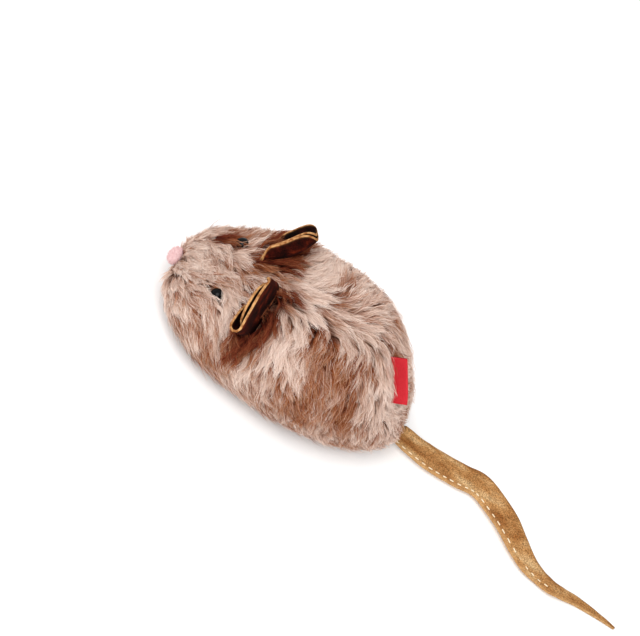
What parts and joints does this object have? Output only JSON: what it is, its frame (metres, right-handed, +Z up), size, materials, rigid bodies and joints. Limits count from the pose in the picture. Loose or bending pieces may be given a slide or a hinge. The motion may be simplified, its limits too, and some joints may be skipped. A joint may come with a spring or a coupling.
{
  "type": "electronic mouse cat toy",
  "caption": "Stuffed plush mouse with suede ears and tail and a motion-started sound module sewn inside, for a cat to bat and chase.",
  "frame": {"origin": "on the flat of the belly, half way between the tip of the rump and the tip of the snout", "axes": "+X to the nose, +Y to the left of the mouse, +Z up, with the belly on the floor"},
  "size_m": [0.209, 0.0566, 0.0468],
  "materials": {
    "plush": "long-pile plush",
    "ear_suede": "brushed faux suede",
    "ear_lining": "dark brushed faux suede",
    "tail_suede": "brushed faux suede, stitched",
    "eye_bead": "polished",
    "nose_felt": "soft felt",
    "label_cloth": "woven",
    "fibre_filling": "loose fibre",
    "pouch_cloth": "plain weave",
    "case_plastic": "fine satin",
    "washer_plastic": "satin",
    "screw_steel": "plated",
    "nickel_plate": "plated",
    "board": "solder mask",
    "black_epoxy": "cast epoxy",
    "brass": "bright",
    "white_ceramic": "fired",
    "component": "lacquered",
    "wire_red": "insulation",
    "wire_black": "insulation"
  },
  "bodies": {
    "root": {"left_side_panel": "plush", "right_side_panel": "plush", "belly_panel": "plush", "upper_stuffing": "fibre_filling", "lower_stuffing": "fibre_filling", "left_eye": "eye_bead", "right_eye": "eye_bead", "left_eye_washer": "washer_plastic", "right_eye_washer": "washer_plastic", "nose": "nose_felt", "module_pouch": "pouch_cloth", "module_lower_case": "case_plastic", "module_lid": "case_plastic", "case_screw_rear": "screw_steel", "case_screw_front": "screw_steel", "button_cell_1": "nickel_plate", "button_cell_2": "nickel_plate", "button_cell_3": "nickel_plate", "plus_contact": "nickel_plate", "minus_contact": "nickel_plate", "minus_contact_spring": "screw_steel", "circuit_board": "board", "sound_chip": "black_epoxy", "resistor": "component", "capacitor": "component", "motion_switch_can": "brass", "motion_switch_base": "black_epoxy", "piezo_disc": "brass", "piezo_ceramic": "white_ceramic", "piezo_wire_red": "wire_red", "piezo_wire_black": "wire_black"},
    "left_ear": {"left_ear_back": "ear_suede", "left_ear_lining": "ear_lining"},
    "right_ear": {"right_ear_back": "ear_suede", "right_ear_lining": "ear_lining"},
    "tail": {"tail": "tail_suede"},
    "seam_label": {"seam_label": "label_cloth"},
    "switch_ball": {"motion_switch_ball": "brass"}
  },
  "joints": [
    {"name": "left_ear_bend", "type": "hinge", "parent": "root", "child": "left_ear", "pos_m": [0.02053, 0.01134, 0.03151], "axis": [-0.1197, 0.808, -0.5769], "range_deg": [-25, 25]},
    {"name": "right_ear_bend", "type": "hinge", "parent": "root", "child": "right_ear", "pos_m": [0.0254, -0.00831, 0.02987], "axis": [-0.1197, -0.808, -0.5769], "range_deg": [-25, 17]},
    {"name": "tail_swing", "type": "hinge", "parent": "root", "child": "tail", "pos_m": [-0.04925, 0, 0.0072], "axis": [0, 0, 1], "range_deg": [-68, 68]},
    {"name": "label_flap", "type": "hinge", "parent": "root", "child": "seam_label", "pos_m": [-0.02722, 0.00526, 0.03335], "axis": [-0.6151, 0.5943, -0.5181], "range_deg": [-45, 45]},
    {"name": "switch_ball_roll", "type": "slide", "parent": "root", "child": "switch_ball", "axis": [1, 0, 0], "range_m": [-0.0024, 0.0024]}
  ]
}
